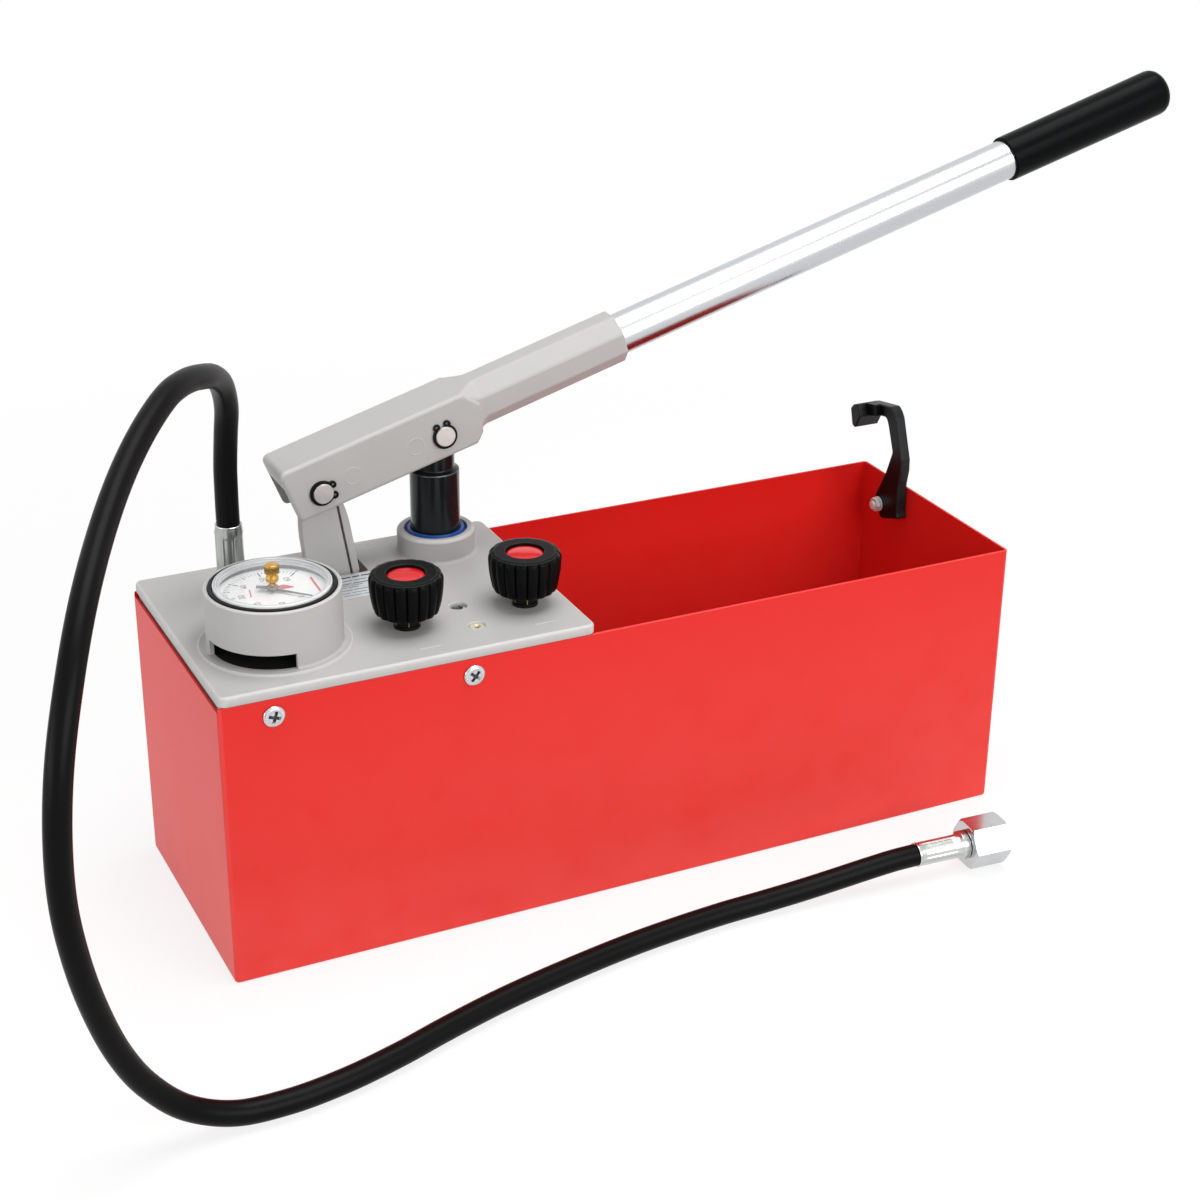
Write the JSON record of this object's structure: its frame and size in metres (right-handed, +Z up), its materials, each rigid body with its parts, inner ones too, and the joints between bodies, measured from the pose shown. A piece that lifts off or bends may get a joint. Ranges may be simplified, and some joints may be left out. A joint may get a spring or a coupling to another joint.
{
  "type": "hydrostatic test pump",
  "caption": "Hand-operated pressure test pump: open water tank, cast cover with gauge, shut-off valves and hose outlet, lever-driven piston with swinging fulcrum link, folding handle hook.",
  "frame": {"origin": "middle of the tank's underside, on the surface that it stands on", "axes": "+X along the tank toward its open end and the handle's grip, +Y toward the long side that the piston stands near, +Z up"},
  "size_m": [0.8137, 0.3134, 0.4227],
  "materials": {
    "red_paint": "semi-gloss red powder coat on sheet steel",
    "cast_alloy": "grey coated light-alloy casting, satin, slight grain",
    "zinc_steel": "bright zinc plated steel",
    "dark_steel": "black oxide steel, polished on the piston",
    "brass": "turned brass",
    "black_plastic": "black moulded plastic, satin",
    "grip_plastic": "black dipped vinyl grip, glossy",
    "hook_plastic": "black moulded nylon, slight sheen",
    "black_rubber": "black seal rubber",
    "hose_rubber": "smooth black hose cover",
    "cap_red": "red moulded cap disc",
    "seal_blue": "blue polyurethane wiper seal",
    "dial_white": "white dial with plain printed scale",
    "pointer_red": "red painted pointer",
    "lens_glass": "clear flat lens",
    "label_silver": "silver foil label, blank with plain bars"
  },
  "bodies": {
    "root": {"tank_shell": "red_paint", "cover_casting": "cast_alloy", "side_screw_front_left": "zinc_steel", "side_screw_front_right": "zinc_steel", "side_screw_rear_left": "zinc_steel", "side_screw_rear_right": "zinc_steel", "delivery_plug": "zinc_steel", "channel_plug": "zinc_steel", "rating_plate": "label_silver", "gauge_case": "black_plastic", "gauge_stem": "brass", "bourdon_tube": "brass", "gauge_movement": "brass", "gauge_dial": "dial_white", "gauge_lens": "lens_glass", "gland_left": "dark_steel", "gland_right": "dark_steel", "pump_cylinder": "zinc_steel", "guide_bush": "brass", "wiper_seal": "seal_blue", "suction_valve_body": "brass", "suction_strainer": "black_plastic", "link_pin": "zinc_steel", "hose_adapter": "zinc_steel", "hose_ferrule_pump": "zinc_steel", "hose": "hose_rubber", "hose_ferrule_end": "zinc_steel", "hose_nipple": "zinc_steel", "hook_washer": "zinc_steel", "hook_nut": "zinc_steel", "hook_screw": "zinc_steel"},
    "piston": {"piston": "dark_steel", "piston_seal": "black_rubber"},
    "lever": {"lever_casting": "cast_alloy", "handle_tube": "zinc_steel", "handle_grip": "grip_plastic", "piston_pin": "zinc_steel", "piston_circlip_front": "dark_steel", "piston_circlip_rear": "dark_steel", "fulcrum_pin": "zinc_steel", "fulcrum_circlip_front": "dark_steel", "fulcrum_circlip_rear": "dark_steel"},
    "link": {"link": "cast_alloy"},
    "valve_disc_left": {"valve_disc_left": "black_rubber"},
    "valve_disc_right": {"valve_disc_right": "black_rubber"},
    "valve_left": {"valve_spindle_left": "brass", "knob_left": "black_plastic", "knob_cap_left": "cap_red"},
    "valve_right": {"valve_spindle_right": "brass", "knob_right": "black_plastic", "knob_cap_right": "cap_red"},
    "gauge_hand": {"gauge_pointer": "black_plastic"},
    "drag_hand": {"drag_pointer": "pointer_red", "reset_knob": "brass"},
    "hook": {"hook": "hook_plastic"},
    "union_nut": {"union_nut": "zinc_steel"},
    "suction_ball": {"suction_ball": "zinc_steel"},
    "delivery_ball": {"delivery_ball": "zinc_steel"}
  },
  "joints": [
    {"name": "piston_slide", "type": "slide", "parent": "root", "child": "piston", "axis": [0, 0, 1], "range_m": [-0.0205, 0.0347]},
    {"name": "lever_swing", "type": "hinge", "parent": "piston", "child": "lever", "pos_m": [-0.072, 0.0525, 0.2568], "axis": [0, -1, 0], "range_deg": [-16.2, 27.6]},
    {"name": "link_swing", "type": "hinge", "parent": "root", "child": "link", "pos_m": [-0.1395, 0.0525, 0.16], "axis": [0, 1, 0], "range_deg": [-6.6, 11.1]},
    {"name": "valve_lift_left", "type": "slide", "parent": "root", "child": "valve_disc_left", "axis": [0, 0, 1], "range_m": [0, 0.00225]},
    {"name": "valve_turn_left", "type": "hinge", "parent": "valve_disc_left", "child": "valve_left", "pos_m": [-0.127, -0.0403, 0.1785], "axis": [0, 0, 1], "range_deg": [0, 540]},
    {"name": "valve_lift_right", "type": "slide", "parent": "root", "child": "valve_disc_right", "axis": [0, 0, 1], "range_m": [0, 0.00225]},
    {"name": "valve_turn_right", "type": "hinge", "parent": "valve_disc_right", "child": "valve_right", "pos_m": [-0.055, -0.0403, 0.1785], "axis": [0, 0, 1], "range_deg": [0, 540]},
    {"name": "gauge_pointer_turn", "type": "hinge", "parent": "root", "child": "gauge_hand", "pos_m": [-0.2, -0.029, 0.2073], "axis": [0, 0, -1], "range_deg": [0, 270]},
    {"name": "drag_pointer_turn", "type": "hinge", "parent": "root", "child": "drag_hand", "pos_m": [-0.2, -0.029, 0.209], "axis": [0, 0, -1], "range_deg": [0, 290]},
    {"name": "hook_swing", "type": "hinge", "parent": "root", "child": "hook", "pos_m": [0.2447, 0.05, 0.1545], "axis": [1, 0, 0], "range_deg": [0, 80]},
    {"name": "union_nut_spin", "type": "hinge", "parent": "root", "child": "union_nut", "pos_m": [0.19921, -0.14933, 0.0159], "axis": [0.9981, -0.061, 0], "continuous": true},
    {"name": "suction_ball_lift", "type": "slide", "parent": "root", "child": "suction_ball", "axis": [0, 0, 1], "range_m": [0, 0.002]},
    {"name": "delivery_ball_lift", "type": "slide", "parent": "root", "child": "delivery_ball", "axis": [0, 0, 1], "range_m": [0, 0.002]}
  ],
  "couplings": [
    {"joint": "piston_slide", "follows": "lever_swing", "m_per_rad": 0.07123},
    {"joint": "link_swing", "follows": "lever_swing", "ratio": 0.389},
    {"joint": "valve_turn_left", "follows": "valve_lift_left", "rad_per_m": 4188.8},
    {"joint": "valve_turn_right", "follows": "valve_lift_right", "rad_per_m": 4188.8}
  ]
}
